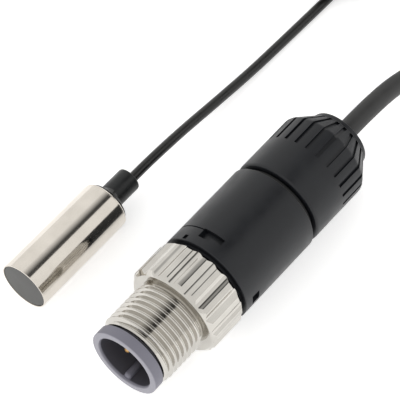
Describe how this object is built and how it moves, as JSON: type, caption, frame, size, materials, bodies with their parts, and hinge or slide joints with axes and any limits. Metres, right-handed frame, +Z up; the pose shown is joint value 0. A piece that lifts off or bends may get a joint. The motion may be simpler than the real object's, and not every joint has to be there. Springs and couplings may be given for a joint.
{
  "type": "inductive proximity sensor",
  "caption": "Miniature smooth-barrel inductive proximity sensor with an in-cable amplifier and an M12 plug whose coupling nut and gland nut turn.",
  "frame": {"origin": "on the surface the sensor lies on, under the middle of the common box of the sensing head and the plug", "axes": "+Y along both pieces from the sensing face and the plug's mouth towards their cables, +X from the head towards the plug, +Z up"},
  "size_m": [0.0441, 0.1521, 0.0154],
  "materials": {
    "nickel_plate": "nickel plating over turned brass",
    "insert_grey": "moulded grey PA",
    "seal_rubber": "black nitrile rubber",
    "contact_gold": "gold-plated brass",
    "spring_steel": "plain steel",
    "body_black": "moulded black PBT",
    "natural_plastic": "natural PA",
    "core_brown": "brown PVC wire",
    "core_black": "black PVC wire",
    "core_blue": "blue PVC wire",
    "cable_skin": "matt black PVC cable jacket",
    "lead_skin": "glossy black PVC lead jacket",
    "boot_black": "black elastomer",
    "face_grey": "moulded dark grey PBT",
    "ferrite": "sintered ferrite",
    "copper_wire": "enamelled copper wire",
    "circuit_board": "green solder mask",
    "chip_black": "black epoxy package",
    "capacitor_tan": "tan ceramic",
    "potting_resin": "black casting resin",
    "lamp_amber": "amber polycarbonate",
    "tie_black": "black nylon strap"
  },
  "bodies": {
    "sensor": {"contact_insert": "insert_grey", "mouth_seal_ring": "seal_rubber", "contact_pin_1": "contact_gold", "contact_pin_2": "contact_gold", "contact_pin_3": "contact_gold", "contact_pin_4": "contact_gold", "connector_body": "body_black", "terminal_block": "natural_plastic", "terminal_screw_1": "spring_steel", "terminal_screw_2": "spring_steel", "terminal_screw_3": "spring_steel", "terminal_screw_4": "spring_steel", "core_brown": "core_brown", "core_black": "core_black", "core_blue": "core_blue", "cable_jacket_end": "cable_skin", "gland_seal_ring": "seal_rubber", "cable_grommet": "seal_rubber", "clamp_cage": "natural_plastic", "head_case": "nickel_plate", "sensing_cap": "face_grey", "ferrite_core": "ferrite", "coil_bobbin": "natural_plastic", "coil_winding": "copper_wire", "head_circuit_board": "circuit_board", "head_chip": "chip_black", "head_capacitor": "capacitor_tan", "potting_plug": "potting_resin", "cable_boot": "boot_black", "lead_jacket_end": "lead_skin", "amplifier_case": "body_black", "amplifier_lead_cap": "body_black", "amplifier_lead_boot": "boot_black", "amplifier_cable_cap": "body_black", "amplifier_cable_boot": "boot_black", "amplifier_board": "circuit_board", "amplifier_chip": "chip_black", "amplifier_capacitor": "capacitor_tan", "indicator_lamp": "lamp_amber", "indicator_window": "lamp_amber", "head_lead": "lead_skin", "head_lead_hank": "lead_skin", "head_lead_tail": "lead_skin", "head_lead_tie": "tie_black", "connector_cable": "cable_skin", "connector_cable_hank": "cable_skin", "connector_cable_tail": "cable_skin", "connector_cable_tie": "tie_black"},
    "coupling_nut": {"coupling_nut": "nickel_plate", "nut_clip": "spring_steel"},
    "gland_washer": {"thrust_washer": "spring_steel"},
    "gland_nut": {"gland_nut": "body_black"}
  },
  "joints": [
    {"name": "coupling_nut_turn", "type": "hinge", "parent": "sensor", "child": "coupling_nut", "pos_m": [0.00855, -0.0108, 0.0077], "axis": [0, 1, 0], "continuous": true},
    {"name": "gland_washer_slide", "type": "slide", "parent": "sensor", "child": "gland_washer", "axis": [0, 1, 0], "range_m": [0, 0.003]},
    {"name": "gland_nut_turn", "type": "hinge", "parent": "gland_washer", "child": "gland_nut", "pos_m": [0.00855, 0.0172, 0.0077], "axis": [0, 1, 0], "range_deg": [0, 720]}
  ],
  "couplings": [
    {"joint": "gland_nut_turn", "follows": "gland_washer_slide", "rad_per_m": 4188.7}
  ]
}
